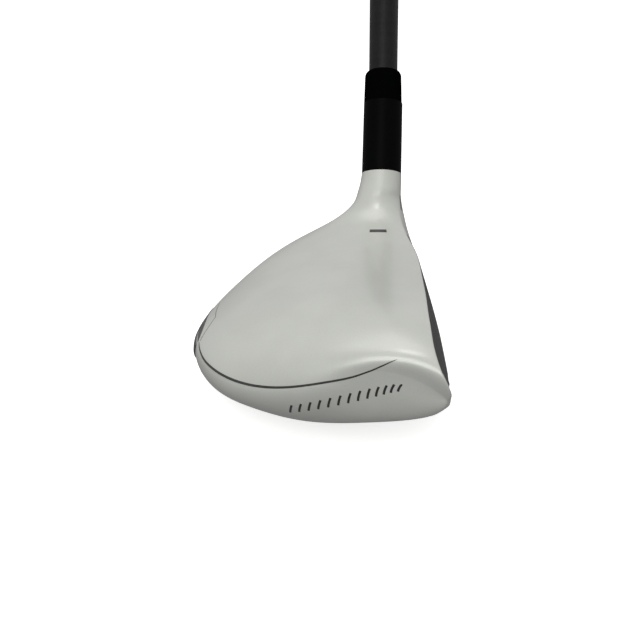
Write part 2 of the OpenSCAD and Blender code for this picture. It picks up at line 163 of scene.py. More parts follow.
def station_row(top, edge, base, lead, level, roundness, bow):
    """Face, crown, skirt and sole curves of one station as twelve control points."""
    top, lead = on_face(top), on_face(lead)
    edge, base = np.array(edge, float), np.array(base, float)
    sole = unit(unit(lead - base) + unit(base - edge) * 0.28)
    near = mix(lead, base, 0.25)
    out = FACE_OUT + bow * BOW_OUT
    row = [
        lead,
        mix(lead, top, 0.33) + out,
        mix(lead, top, 0.67) + out,
        top,
        top + flat(edge - top) * 0.36 + up(0.06 * np.linalg.norm(flat(edge - top))),
        edge - flat(edge - top) * 0.16 + up((top[2] - edge[2]) * 0.5 + 1.2),
        edge,
        edge + unit(flat(edge - base)) * 3 - up((edge[2] - base[2]) * 0.46),
        base - sole * np.linalg.norm(edge - base) * 0.5,
        base,
        base + sole * np.linalg.norm(lead - base) * 0.3,
        np.array([near[0], near[1] - bow, mix(lead[2], level, 0.6)]),
    ]
    soften(row, min(1.0, bow / 2))
    ref = ring_row(*REF_RING)
    for k in range(12):  # heel stations borrow the handles of a ring
        if k % 3 and roundness:
            at, far = k - k % 3, (k - k % 3 + 3) % 12
            own = at if k % 3 == 1 else far
            size = np.linalg.norm(row[far] - row[at]) / np.linalg.norm(ref[far] - ref[at])
            row[k] = mix(row[k], row[own] + (ref[k] - ref[own]) * size, roundness)
    return row


ROWS = np.array(
    [ring_row(*n) for n in NECK]
    + [station_row(*s) for s in STATIONS]
    + [[on_face(TOE)] * 12]
)
TOE_POINT = ROWS[-1][0]
INSIDE = ROWS[1:-1] * 4 / 3 - (ROWS[:-2] + ROWS[2:]) / 6
TIP = INSIDE[-1].mean(0)  # the toe closes in a dome over this middle
KNOTS = np.concatenate(
    [[ROWS[0] * 2 - INSIDE[0], ROWS[0]], INSIDE, [ROWS[-1] * 1.5 - TIP * 0.5, TIP * 2 - INSIDE[-1]]])


def control_row(u):
    """Control points at u, in row numbers from the hosel ring to the toe, on a cubic spline."""
    i = min(int(u + 1e-9), len(ROWS) - 2)
    t = u - i
    share = ((1 - t) ** 3, 3 * t**3 - 6 * t**2 + 4, 1 + 3 * t + 3 * t**2 - 3 * t**3, t**3)
    return sum(KNOTS[i + k] * w for k, w in enumerate(share)) / 6


def bezier(a, b, c, d, t):
    t = np.asarray(t, float)[..., None]
    return a * (1 - t) ** 3 + b * 3 * t * (1 - t) ** 2 + c * 3 * t * t * (1 - t) + d * t**3


def curve_of(row, s):
    return row[3 * s], row[3 * s + 1], row[3 * s + 2], row[(3 * s + 3) % 12]


# grid of the visible surface
SPAN = 12  # rows between two stations
CELLS = (14, 40, 24, 24)  # along the face, crown, skirt and sole curves
EASE = (2.6, 0.5, 1.0, 2.0)  # how far each edge is rounded back, mm
EASE_TOE = (3.0, 0.5, 4.5, 2.0)
EASE_ROWS = (13.6, 14.8)  # over which the first run into the second
EASE_MOST = 0.2  # share of a curve that a rounded end may take
EASE_STEPS = (0.25, 0.5, 0.75)
START = [sum(CELLS[:s]) + (len(EASE_STEPS) + 1) * s for s in range(5)]
COLS = START[4]
ROW_N = (len(ROWS) - 1) * SPAN


def loop_points(u):
    """One closed loop of the surface, with its four edges rounded over."""
    row = control_row(u)
    ease = [np.interp(u, EASE_ROWS, pair) for pair in zip(EASE, EASE_TOE)]
    curves = [curve_of(row, s) for s in range(4)]
    first, last = [], []
    for s, (a, b, c, d) in enumerate(curves):
        first.append(min(EASE_MOST, ease[s] / max(3 * np.linalg.norm(b - a), 1e-6)))
        last.append(1 - min(EASE_MOST, ease[(s + 1) % 4] / max(3 * np.linalg.norm(d - c), 1e-6)))
    out = []
    for s, c in enumerate(curves):
        run = bezier(*c, np.linspace(first[s], last[s], CELLS[s] + 1))
        after = bezier(*curves[(s + 1) % 4], [first[(s + 1) % 4]])[0]
        out += list(run)
        for t in EASE_STEPS:
            out.append(mix(mix(run[-1], c[3], t), mix(c[3], after, t), t))
    return np.array(out)


OUTER = np.array([loop_points(i / SPAN) for i in range(ROW_N)])


def grid_normals(grid):
    along = np.gradient(grid, axis=0)
    round_ = np.roll(grid, -1, 1) - np.roll(grid, 1, 1)
    n = np.cross(round_, along)
    return n / np.maximum(np.linalg.norm(n, axis=-1, keepdims=True), 1e-9)


NORMALS = grid_normals(OUTER)

SHRINK = 0.06  # the inside is each loop drawn in towards its own middle
SHRINK_NECK = 0.085
NECK_SHARE = (0.2, 0.35)  # rows, as a share of all, over which the second runs into the first
TOE_WALL = 1.6  # how far the inside is also moved heelward by the toe
TOE_WALL_FROM = 0.86


def inner_grid():
    share = np.arange(ROW_N) / ROW_N
    middle = OUTER.mean(1, keepdims=True)
    k = np.interp(share, NECK_SHARE, (SHRINK_NECK, SHRINK))[:, None, None]
    heel = np.clip((share - TOE_WALL_FROM) / (1 - TOE_WALL_FROM), 0, 1) * TOE_WALL
    return mix(OUTER, middle, k) + heel[:, None, None] * np.array([0.0, 1.0, 0.0])


INNER = inner_grid()
INNER_TOE = TOE_POINT + [0, TOE_WALL, 0]


def surface(u, s):
    """Point and outward normal at row number u and curve place s, such as CROWN + 0.5."""
    def point(uu, ss):
        seg = int(math.floor(ss + 1e-9)) % 4
        return bezier(*curve_of(control_row(uu), seg), [ss - math.floor(ss + 1e-9)])[0]

    e = 1e-3
    p = point(u, s)
    du = point(u + e, s) - point(u - e, s)
    ds = (point(u, s + e) - p) if s % 1 < 0.5 else (p - point(u, s - e))
    return p, unit(np.cross(ds, du))


# ---------------------------------------------------------------- mesh helpers
def new_object(name, verts, faces, material, smooth=True, scale=MM):
    mesh = bpy.data.meshes.new(name)
    mesh.from_pydata([tuple(np.asarray(v) * scale) for v in verts], [], [tuple(f) for f in faces])
    mesh.validate()
    for p in mesh.polygons:
        p.use_smooth = smooth
    mesh.materials.append(material)
    obj = bpy.data.objects.new(name, mesh)
    bpy.context.scene.collection.objects.link(obj)
    return obj


def face_outward(obj, weld=None):
    """Turns every face outward, after joining points closer than weld metres."""
    bm = bmesh.new()
    bm.from_mesh(obj.data)
    if weld:
        bmesh.ops.remove_doubles(bm, verts=bm.verts, dist=weld)
    bmesh.ops.recalc_face_normals(bm, faces=bm.faces)
    bm.to_mesh(obj.data)
    bm.free()
    return obj


def sharpen(obj, angle=35):
    obj.data.set_sharp_from_angle(angle=math.radians(angle))
    return obj


def piece(obj, body, slot, *nodes):
    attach(obj, body)
    if nodes:
        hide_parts(*nodes)
    return obj


def closed_patch(name, cells, pole, material, outer=OUTER, inner=INNER):
    """Solid between the outer and inner grids over the cells where cells[i, j] is true."""
    rows, cols = cells.shape
    verts, index, faces = [], {}, []

    def vert(i, j, inside):
        key = (i, j % cols if i < len(outer) else 0, inside)
        if key not in index:
            index[key] = len(verts)
            if i < len(outer):
                verts.append((inner if inside else outer)[i][j % cols])
            else:
                verts.append(INNER_TOE if inside else TOE_POINT)
        return index[key]

    edges = {}
    for i in range(rows):
        for j in range(cols):
            if not cells[i, j]:
                continue
            ring = [(i, j), (i, j + 1), (i + 1, j + 1), (i + 1, j)]
            if i + 1 == len(outer):
                if not pole:
                    continue
                ring = [(i, j), (i, j + 1), (i + 1, 0)]
            top = [vert(a, b, False) for a, b in ring]
            low = [vert(a, b, True) for a, b in ring]
            faces += [top, low[::-1]]
            for k in range(len(top)):
                n = (k + 1) % len(top)
                edges[(top[k], top[n])] = (low[k], low[n])
    for (a, b), (c, d) in edges.items():
        if (b, a) not in edges:
            faces.append([b, a, c, d])
    return new_object(name, verts, faces, material)


SAME_SIDE = 0.8  # least cosine between a face and the surface it takes its normal from


def surface_normals(obj, limit_mm=1.2):
    """Gives the outer faces the exact normals of the head surface, so panels meet without a seam."""
    tree = KDTree(OUTER.shape[0] * OUTER.shape[1])
    for k, co in enumerate(OUTER.reshape(-1, 3)):
        tree.insert(co * MM, k)
    tree.balance()
    normals = NORMALS.reshape(-1, 3)
    mesh = obj.data
    near = [tree.find(v.co)[1:] for v in mesh.vertices]
    custom = [(0.0, 0.0, 0.0)] * len(mesh.loops)
    for poly in mesh.polygons:
        for li in poly.loop_indices:
            k, dist = near[mesh.loops[li].vertex_index]
            if dist < limit_mm * MM * 0.5:
                n = Vector(normals[k])
                if n.dot(poly.normal) > SAME_SIDE:
                    custom[li] = tuple(n)
    mesh.normals_split_custom_set(custom)
    return obj


def cut_away(obj, cutters):
    """Cuts obj with closed meshes and removes them."""
    for c in cutters:
        mod = obj.modifiers.new("cut", "BOOLEAN")
        mod.object, mod.operation, mod.solver = c, "DIFFERENCE", "EXACT"
    bpy.context.view_layer.update()
    done = bpy.data.meshes.new_from_object(obj.evaluated_get(bpy.context.evaluated_depsgraph_get()))
    obj.modifiers.clear()
    obj.data = done
    for c in cutters:
        bpy.data.objects.remove(c)
    return obj


def lathe(name, loops, matrix, material, segments=128, closed=True):
    """Turns a profile of (radius, height) points in metres round the Z of matrix."""
    verts, faces, n = [], [], len(loops)
    for k in range(segments):
        a = 2 * math.pi * k / segments
        for r, h in loops:
            verts.append(matrix @ Vector((r * math.cos(a), r * math.sin(a), h)))
    for k in range(segments):
        m = (k + 1) % segments
        for i in range(n if closed else n - 1):
            j = (i + 1) % n
            faces.append([k * n + i, m * n + i, m * n + j, k * n + j])
    return face_outward(new_object(name, verts, faces, material, scale=1), weld=1e-7)


def arc(cx, cy, r, a0, a1, steps):
    """Profile points on an arc, angles in degrees."""
    return [
        (cx + r * math.cos(math.radians(a)), cy + r * math.sin(math.radians(a)))
        for a in np.linspace(a0, a1, steps)
    ]


# ---------------------------------------------------------------- materials
FLOOR_GLOW = 0.62


class Nodes:
    """A node tree with short helpers. All coordinates are the piece's own, in metres."""

    def __init__(self, name):
        self.mat = bpy.data.materials.new(name)
        self.mat.use_nodes = True
        self.tree = self.mat.node_tree
        self.shader = self.tree.nodes["Principled BSDF"]
        self.space = self.add("ShaderNodeTexCoord").outputs["Object"]

    def add(self, kind, **values):
        node = self.tree.nodes.new(kind)
        for k, v in values.items():
            setattr(node, k, v)
        return node

    def link(self, a, b):
        self.tree.links.new(a, b)

    def put(self, socket, value):
        if hasattr(value, "is_linked"):
            self.link(value, socket)
        else:
            socket.default_value = value

    def set(self, **values):
        for k, v in values.items():
            self.put(self.shader.inputs[k.replace("_", " ")], v)

    def math(self, op, a, b=0.0, c=0.0):
        n = self.add("ShaderNodeMath", operation=op)
        for k, v in enumerate((a, b, c)):
            self.put(n.inputs[k], v)
        return n.outputs[0]

    def stretched(self, size):
        """Coordinates divided by size, one number per row axis, in millimetres."""
        n = self.add("ShaderNodeMapping")
        self.link(self.space, n.inputs["Vector"])
        n.inputs["Scale"].default_value = [1 / (s * MM) for s in size]
        return n.outputs["Vector"]

    def along(self, direction, size):
        """Distance along direction, over size in millimetres, as a vector with one live part."""
        n = self.add("ShaderNodeVectorMath", operation="DOT_PRODUCT")
        self.link(self.space, n.inputs[0])
        n.inputs[1].default_value = [d / (size * MM) for d in direction]
        return n.outputs["Value"]

    def noise(self, vector, detail=3.0, rough=0.5, dims="3D"):
        n = self.add("ShaderNodeTexNoise", noise_dimensions=dims)
        self.link(vector, n.inputs["W" if dims == "1D" else "Vector"])
        n.inputs["Scale"].default_value = 1.0
        n.inputs["Detail"].default_value = detail
        n.inputs["Roughness"].default_value = rough
        return n.outputs["Fac"]

    def cells(self, vector, feature="F1", jitter=1.0):
        n = self.add("ShaderNodeTexVoronoi", feature=feature)
        self.link(vector, n.inputs["Vector"])
        n.inputs["Scale"].default_value = 1.0
        n.inputs["Randomness"].default_value = jitter
        return n

    def ramp(self, value, low, high, a=0.0, b=1.0):
        n = self.add("ShaderNodeMapRange", interpolation_type="SMOOTHSTEP")
        self.link(value, n.inputs["Value"])
        for k, v in (("From Min", low), ("From Max", high), ("To Min", a), ("To Max", b)):
            n.inputs[k].default_value = v
        return n.outputs["Result"]

    def blend(self, fac, a, b):
        n = self.add("ShaderNodeMix", data_type="RGBA")
        self.put(n.inputs["Factor"], fac)
        self.put(n.inputs["A"], a if hasattr(a, "is_linked") else (*a, 1.0))
        self.put(n.inputs["B"], b if hasattr(b, "is_linked") else (*b, 1.0))
        return n.outputs["Result"]

    def bump(self, height, depth_mm, under=None):
        n = self.add("ShaderNodeBump")
        n.inputs["Distance"].default_value = depth_mm * MM
        self.link(height, n.inputs["Height"])
        if under is not None:
            self.link(under, n.inputs["Normal"])
        return n.outputs["Normal"]


def paint_material(name, light, dark, chips=True):
    """Pearl paint under a clear coat: flake, slow cloudiness, a few small chips, faint rub marks."""
    m = Nodes(name)
    cloud = m.noise(m.stretched((18, 18, 14)), 2.0)
    flake = m.cells(m.stretched((0.16, 0.16, 0.16)))
    glitter = m.ramp(flake.outputs["Color"], 0.0, 1.0)
    colour = m.blend(m.ramp(cloud, 0.35, 0.65), dark, light)
    colour = m.blend(m.math("MULTIPLY", glitter, 0.07), colour, (0.95, 0.96, 0.93))
    tip = m.bump(glitter, 0.006)
    coat_normal = m.bump(m.noise(m.stretched((2.6, 2.6, 2.6)), 2.0), 0.004)
    rub = m.ramp(m.noise(m.stretched((9, 0.7, 5)), 5.0, 0.7), 0.55, 0.8, 0.0, 1.0)
    rough = m.math("MULTIPLY_ADD", rub, 0.10, 0.34)
    if chips:
        spots = m.cells(m.stretched((11, 11, 11)))
        size = m.ramp(m.noise(m.stretched((4, 4, 4)), 1.0), 0.45, 0.75, 0.0, 0.042)
        chip = m.math("LESS_THAN", spots.outputs["Distance"], size)
        low = m.ramp(m.along((0, 0, 1), 1), 27.0, 24.0)
        chip = m.math("MULTIPLY", chip, low)
        colour = m.blend(chip, colour, (0.16, 0.16, 0.15))
        tip = m.bump(m.math("SUBTRACT", 1.0, chip), 0.05, tip)
    m.set(
        Base_Color=colour, Roughness=rough, Metallic=0.12, Normal=tip, Specular_IOR_Level=0.4,
        Coat_Weight=0.8, Coat_Roughness=m.math("MULTIPLY_ADD", rub, 0.1, 0.22), Coat_IOR=1.45,
        Coat_Normal=coat_normal,
    )
    return m.mat


def steel_material(name, colour, rough, grain, worn=0.15, metallic=1.0):
    """Machined or brushed metal. grain is the size of the brush marks on each row axis, mm."""
    m = Nodes(name)
    brush = m.noise(m.stretched(grain), 4.0, 0.7)
    blotch = m.noise(m.stretched((6, 6, 6)), 3.0)
    bright = tuple(min(1.0, c * (1 + worn * 2)) for c in colour)
    dull = tuple(c * (1 - worn) for c in colour)
    m.set(
        Base_Color=m.blend(m.ramp(m.math("ADD", brush, blotch), 0.7, 1.3), dull, bright),
        Metallic=metallic,
        Roughness=m.ramp(m.math("ADD", brush, blotch), 0.6, 1.4, rough + 0.1, rough - 0.06),
        Normal=m.bump(brush, 0.004),
    )
    return m.mat


def turned_material(name, colour, rough, direction, pitch, depth, metallic=1.0, coat=0.0, shine=0.5):
    """A part turned on a lathe: fine rings along direction over a soft mottle."""
    m = Nodes(name)
    ring = m.noise(m.along(direction, pitch), 3.0, 0.6, "1D")
    mottle = m.noise(m.stretched((1.4, 1.4, 1.4)), 4.0, 0.6)
    light = tuple(min(1.0, c * 1.35 + 0.002) for c in colour)
    m.set(
        Base_Color=m.blend(m.math("MULTIPLY", ring, mottle), colour, light),
        Metallic=metallic,
        Roughness=m.ramp(mottle, 0.3, 0.7, rough - 0.05, rough + 0.07),
        Normal=m.bump(mottle, depth * 0.5, m.bump(ring, depth)),
        Coat_Weight=coat,
        Coat_Roughness=0.1,
        Specular_IOR_Level=shine,
    )
    return m.mat


def rubber_material(name, colour, rough, grain_mm, depth):
    """Moulded rubber: fine pitted skin, dusty high spots."""
    m = Nodes(name)
    pits = m.cells(m.stretched((grain_mm,) * 3)).outputs["Distance"]
    dust = m.noise(m.stretched((7, 7, 7)), 4.0, 0.65)
    pale = tuple(c * 2.2 + 0.01 for c in colour)
    m.set(
        Base_Color=m.blend(m.ramp(dust, 0.45, 0.8), colour, pale),
        Roughness=m.ramp(dust, 0.3, 0.8, rough - 0.08, rough + 0.08),
        Specular_IOR_Level=0.35,
        Normal=m.bump(pits, depth),
        Sheen_Weight=0.08,
        Sheen_Roughness=0.6,
    )
    return m.mat


def graphite_material():
    """Charcoal lacquer over wound carbon tape."""
    m = Nodes("mat_shaft")
    wind = m.noise(m.along(SHAFT_AXIS, 2.6), 2.0, 0.5, "1D")
    tow = m.noise(m.stretched((0.5, 1.6, 2.8)), 4.0, 0.6)
    fleck = m.cells(m.stretched((0.2, 0.2, 0.2))).outputs["Color"]
    weave = m.math("MULTIPLY_ADD", wind, 0.4, tow)
    colour = m.blend(m.ramp(weave, 0.5, 0.95), (0.0045, 0.0042, 0.0044), (0.0085, 0.0078, 0.0080))
    colour = m.blend(m.math("MULTIPLY", m.ramp(fleck, 0.75, 1.0), 0.1), colour, (0.1, 0.09, 0.09))
    m.set(
        Base_Color=colour, Metallic=0.0, Roughness=0.4, Specular_IOR_Level=0.16,
        Normal=m.bump(weave, 0.006), Coat_Weight=0.12, Coat_Roughness=0.12, Coat_IOR=1.45,
    )
    return m.mat


def cork_material():
    m = Nodes("mat_plug")
    grain = m.cells(m.stretched((0.9, 0.9, 0.9)))
    pore = m.noise(m.stretched((0.7, 0.7, 0.7)), 5.0, 0.7)
    colour = m.blend(grain.outputs["Color"], (0.42, 0.26, 0.13), (0.62, 0.43, 0.25))
    colour = m.blend(m.ramp(pore, 0.6, 0.75), colour, (0.16, 0.09, 0.05))
    m.set(Base_Color=colour, Roughness=0.85, Normal=m.bump(pore, 0.15))
    return m.mat


def tape_material():
    m = Nodes("mat_tape")
    crepe = m.noise(m.along(SHAFT_AXIS, 0.6), 3.0, 0.7, "1D")
    fibre = m.noise(m.stretched((0.5, 0.5, 0.2)), 4.0, 0.7)
    m.set(
        Base_Color=m.blend(fibre, (0.55, 0.5, 0.39), (0.76, 0.71, 0.6)),
        Roughness=0.75, Normal=m.bump(crepe, 0.12),
    )
    return m.mat


def ink_material(name, colour, rough=0.38):
    """Thin printed or inlaid line: slightly uneven film with a light coat."""
    m = Nodes(name)
    film = m.noise(m.stretched((0.8, 0.8, 0.8)), 4.0, 0.65)
    light = tuple(c * 1.5 + 0.004 for c in colour)
    m.set(
        Base_Color=m.blend(m.ramp(film, 0.4, 0.75), colour, light),
        Roughness=m.ramp(film, 0.3, 0.7, rough - 0.06, rough + 0.08),
        Coat_Weight=0.4, Coat_Roughness=0.15, Normal=m.bump(film, 0.004),
    )
    return m.mat


def floor_material():
    """Pale sweep that glows a little, so only a soft contact shadow is left on it."""
    m = Nodes("mat_floor")
    tone = m.noise(m.stretched((260, 260, 260)), 3.0)
    colour = m.blend(tone, (0.90, 0.90, 0.895), (0.93, 0.93, 0.925))
    m.set(Base_Color=colour, Roughness=0.8, Specular_IOR_Level=0.0)
    m.set(Emission_Color=(1.0, 1.0, 1.0, 1.0), Emission_Strength=FLOOR_GLOW)
    return m.mat


MATERIALS = {
    "head_paint": paint_material("mat_head_paint", (0.535, 0.545, 0.505), (0.505, 0.515, 0.475)),
    "crown_paint": paint_material("mat_crown_paint", (0.535, 0.545, 0.505), (0.505, 0.515, 0.475)),
    "face_steel": steel_material("mat_face", (0.028, 0.028, 0.026), 0.5, (0.6, 3.0, 0.05), 0.12, 0.35),
    "badge_dark": steel_material("mat_badge", (0.10, 0.10, 0.098), 0.36, (0.12, 1.2, 0.12), 0.2, 0.6),
    "liner_steel": turned_material("mat_liner", (0.52, 0.53, 0.54), 0.3, AXIS, 0.25, 0.01),
    "screw_steel": turned_material("mat_screw", (0.20, 0.20, 0.21), 0.34, AXIS, 0.18, 0.01),
    "washer_steel": turned_material("mat_washer", (0.6, 0.6, 0.61), 0.26, AXIS, 0.2, 0.006),
    "retainer_black": rubber_material("mat_retainer", (0.02, 0.02, 0.02), 0.6, 0.3, 0.01),
    "sleeve_black": turned_material(
        "mat_sleeve", (0.0012, 0.0013, 0.0013), 0.36, AXIS, 0.2, 0.0015, 0.0, shine=0.02),
    "ferrule_black": turned_material(
        "mat_ferrule", (0.0006, 0.0008, 0.0007), 0.4, SHAFT_AXIS, 0.35, 0.002, 0.0, shine=0.0),
    "shaft_graphite": graphite_material(),
    "plug_cork": cork_material(),
    "tape_paper": tape_material(),
    "grip_rubber": rubber_material("mat_grip", (0.013, 0.013, 0.014), 0.78, 0.35, 0.03),
    "cap_rubber": rubber_material("mat_cap", (0.016, 0.016, 0.017), 0.66, 0.5, 0.015),
}
PINSTRIPE = ink_material("mat_pinstripe", (0.022, 0.023, 0.020))
FINE_LINE = ink_material("mat_fine_line", (0.13, 0.13, 0.125))
INK = ink_material("mat_ink", (0.012, 0.012, 0.011))


# ---------------------------------------------------------------- head
CROWN_ROWS = (19 * SPAN // 3, 14 * SPAN)
FACE_ROWS = (17 * SPAN // 3, 44 * SPAN // 3)
CORNER = 2  # columns back from a curve's start to the middle of its rounded edge
CROWN_COLS = (START[CROWN] + CELLS[CROWN] // 10, START[SKIRT] - CORNER)
FACE_COLS = (START[FACE] - CORNER, START[CROWN] - CORNER)


def window(rows, cols):
    cells = np.zeros((ROW_N, COLS), bool)
    cells[rows[0]:rows[1], [j % COLS for j in range(*cols)]] = True
    return cells


def rod(radius, start, end, axis=AXIS, segments=96):
    """Closed rod along an axis through the origin, heights in millimetres."""
    bm = bmesh.new()
    bmesh.ops.create_cone(
        bm, cap_ends=True, segments=segments, radius1=radius * MM, radius2=radius * MM,
        depth=(end - start) * MM,
    )
    mesh = bpy.data.meshes.new("rod")
    bm.to_mesh(mesh)
    bm.free()
    obj = bpy.data.objects.new("rod", mesh)
    obj.matrix_world = axis_frame(axis * (start + end) / 2 * MM, axis)
    bpy.context.scene.collection.objects.link(obj)
    return obj


PORT_R = 5.0  # wrench port in the sole, along the hosel axis
PORT_TOP = 9.0
PORT_PAST = 4.0  # how far the cut starts below the ground


def build_shell():
    cells = ~(window(CROWN_ROWS, CROWN_COLS) | window(FACE_ROWS, FACE_COLS))
    obj = closed_patch("head_shell_skin", cells, True, MATERIALS["head_paint"])
    cut_away(obj, [rod(PORT_R, -PORT_PAST, PORT_TOP)])
    sharpen(obj)
    surface_normals(obj)
    return piece(obj, "head", "head_paint", "head_shell")


def build_crown():
    cells = window(CROWN_ROWS, CROWN_COLS)
    obj = closed_patch("crown_skin", cells, False, MATERIALS["crown_paint"])
    sharpen(obj)
    surface_normals(obj)
    return piece(obj, "head", "crown_paint", "crown_panel")


SCORE_N = 9  # grooves
SCORE_PITCH = 3.1
SCORE_Z0 = 7.4
SCORE_HALF = 26.0
SCORE_LOW = 6.0  # half length of the lowest groove, and how much each next one gains
SCORE_STEP = 5.3
SCORE_MID_Y = -34.0
SCORE_R = 0.36


def score_cutters():
    """Fine horizontal grooves across the middle of the face."""
    out = []
    for k in range(SCORE_N):
        z = SCORE_Z0 + k * SCORE_PITCH
        reach = min(SCORE_HALF, SCORE_LOW + k * SCORE_STEP)
        ys = np.linspace(SCORE_MID_Y - reach, SCORE_MID_Y + reach, 25)
        verts, faces = [], []
        sides = 6
        for y in ys:
            mid = on_face((y, z, 0.42))
            for a in range(sides):
                t = 2 * math.pi * a / sides
                verts.append(mid + SCORE_R * np.array([math.cos(t), 0, math.sin(t)]))
        for i in range(len(ys) - 1):
            for a in range(sides):
                b = (a + 1) % sides
                faces.append([i * sides + a, i * sides + b, (i + 1) * sides + b, (i + 1) * sides + a])
        faces.append(list(range(sides))[::-1])
        faces.append([(len(ys) - 1) * sides + a for a in range(sides)])
        out.append(face_outward(new_object("score", verts, faces, MATERIALS["face_steel"])))
    return out


def build_face():
    cells = window(FACE_ROWS, FACE_COLS)
    obj = closed_patch("face_skin", cells, False, MATERIALS["face_steel"])
    cut_away(obj, score_cutters())
    sharpen(obj, 25)
    surface_normals(obj, 0.8)
    return piece(obj, "head", "face_steel", "face_plate")


BADGE_U = (26 / 3, 30 / 3)
BADGE_S = (0.02, 5 / 7)
BADGE_LIFT = 0.5
BADGE_N = (48, 26)


def build_badge():
    """Raised dark accent low on the back skirt, with tapered ends and a soft rim."""
    n, m = BADGE_N
    top, low = [], []
    for i in range(n + 1):
        a = i / n
        drop = 1 - abs(2 * a - 1) ** 2.6 * 0.8
        for j in range(m + 1):
            b = drop * j / m
            p, normal = surface(mix(*BADGE_U, a), SKIRT + mix(*BADGE_S, b))
            rim = min(1.0, min(i, n - i, j * 1.2, (m - j) * 1.2) / 3)
            lift = BADGE_LIFT * math.sin(rim * math.pi / 2) ** 0.8 if rim > 0 else 0.0
            groove = 0.12 * math.exp(-((j - m * 0.5) / 1.1) ** 2) if 5 < i < n - 5 else 0.0
            top.append(p + normal * max(lift - groove, 0.02))
            low.append(p - normal * 0.15)
    cells = [(i, j) for i in range(n) for j in range(m)]
    w, size = m + 1, (n + 1) * (m + 1)
    faces = [[i * w + j, i * w + j + 1, (i + 1) * w + j + 1, (i + 1) * w + j] for i, j in cells]
    faces += [[size + k for k in f[::-1]] for f in faces]
    rim = [j for j in range(m)] + [i * w + m for i in range(n)]
    rim += [n * w + j for j in range(m, 0, -1)] + [i * w for i in range(n, 0, -1)]
    for a, b in zip(rim, rim[1:] + rim[:1]):
        faces.append([b, a, size + a, size + b])
    obj = sharpen(new_object("badge_skin", top + low, faces, MATERIALS["badge_dark"]), 40)
    return piece(obj, "head", "badge_dark", "rear_badge")


def smooth_path(points, per_span):
    """Catmull-Rom line through points of any number of parts."""
    p = np.asarray(points, float)
    p = np.vstack([p[0] * 2 - p[1], p, p[-1] * 2 - p[-2]])
    out = []
    for i in range(1, len(p) - 2):
        a, b, c, d = p[i - 1:i + 3]
        for t in np.arange(per_span) / per_span:
            out.append((b * 2 + (c - a) * t + (a * 2 - b * 5 + c * 4 - d) * t**2
                        + (b * 3 - a - c * 3 + d) * t**3) / 2)
    out.append(p[-2])
    return np.array(out)


INLAY_SINK = 0.1  # how deep a line's foot goes under the surface, mm


def inlay(name, lines, material, lift=0.05):
    """Thin raised lines on the head. Each line is a list of (row number, curve place, width mm)."""
    verts, faces = [], []
    for line in lines:
        pts = [surface(u, s) for u, s, _ in line]
        at = np.array([p for p, _ in pts])
        run = np.gradient(at, axis=0)
        first = len(verts)
        for (p, n), d, (_, _, w) in zip(pts, run, line):
            side = unit(np.cross(n, d)) * w / 2
            verts += [p + side * a + n * h for a, h in (
                (-1, -INLAY_SINK), (-0.96, lift * 0.7), (-0.7, lift), (0.7, lift), (0.96, lift * 0.7),
                (1, -INLAY_SINK))]
        k = 6
        for i in range(len(line) - 1):
            a = first + i * k
            for j in range(k):
                q = (j + 1) % k
                faces.append([a + j, a + q, a + k + q, a + k + j])
        faces += [[first + j for j in range(k)][::-1]]
        faces += [[first + (len(line) - 1) * k + j for j in range(k)]]
    obj = sharpen(face_outward(new_object(name, verts, faces, material)), 50)
    return piece(obj, "head", "badge_dark")


# (row number, share of the way down the crown curve, width in mm)
STRIPE = [
    (10.02, 0.980, 0.25), (10.3, 0.990, 0.42), (10.62, 0.998, 0.56), (11.04, 0.999, 0.66),
    (11.5, 0.999, 0.70), (12.0, 0.999, 0.68), (12.5, 0.999, 0.64), (13.0, 0.998, 0.60),
    (13.35, 0.995, 0.58), (13.67, 0.988, 0.56), (13.9, 0.980, 0.54), (14.07, 0.965, 0.52),
    (14.21, 0.930, 0.50), (14.31, 0.86, 0.46), (14.36, 0.76, 0.42), (14.30, 0.60, 0.36),
    (14.15, 0.45, 0.24), (14.06, 0.38, 0.08),
]
FINE = [(10.0, 0.97, 0.3), (9.75, 0.915, 0.3), (9.5, 0.880, 0.3), (9.42, 0.875, 0.3),
        (9.25, 0.887, 0.3), (8.96, 0.912, 0.28), (8.75, 0.935, 0.2)]
# dark edge of the badge where it turns over the rim of the crown
BADGE_EDGE = [(8.85, 0.985, 0.1), (9.05, 0.979, 0.9), (9.3, 0.972, 1.7), (9.5, 0.97, 2.0), (9.7, 0.973, 1.7),
              (9.85, 0.98, 1.0), (9.97, 0.99, 0.1)]
STRIPE_STEPS = 12
# foot of the tick row on the skirt: row number, share, slant
TICK_ROW = [
    (13.04, 0.41, 0.07), (13.64, 0.38, 0.07), (14.2, 0.34, 0.06), (14.68, 0.28, 0.05), (15.05, 0.2, 0.04),
]
TICK_STEPS = 3
TICK_SHARE = 0.14  # length of a tick as a share of the skirt curve
TICK_WIDTH = 0.62
BAR = (6.05, CROWN + 0.32, 5.83, CROWN + 0.19, 2.1)  # row and place at each end, width
# thin dark crescent on the face side of the neck, near the topline: row and place at each end, width
NECK_DARK_CRESCENT = (3.1, FACE + 0.75, 4.3, FACE + 0.85, 0.9)


def crown_line(points):
    return [(u, CROWN + t, w) for u, t, w in smooth_path(points, STRIPE_STEPS)]


def straight(u0, s0, u1, s1, width, steps=10):
    return [(mix(u0, u1, t), mix(s0, s1, t), width) for t in np.linspace(0, 1, steps)]


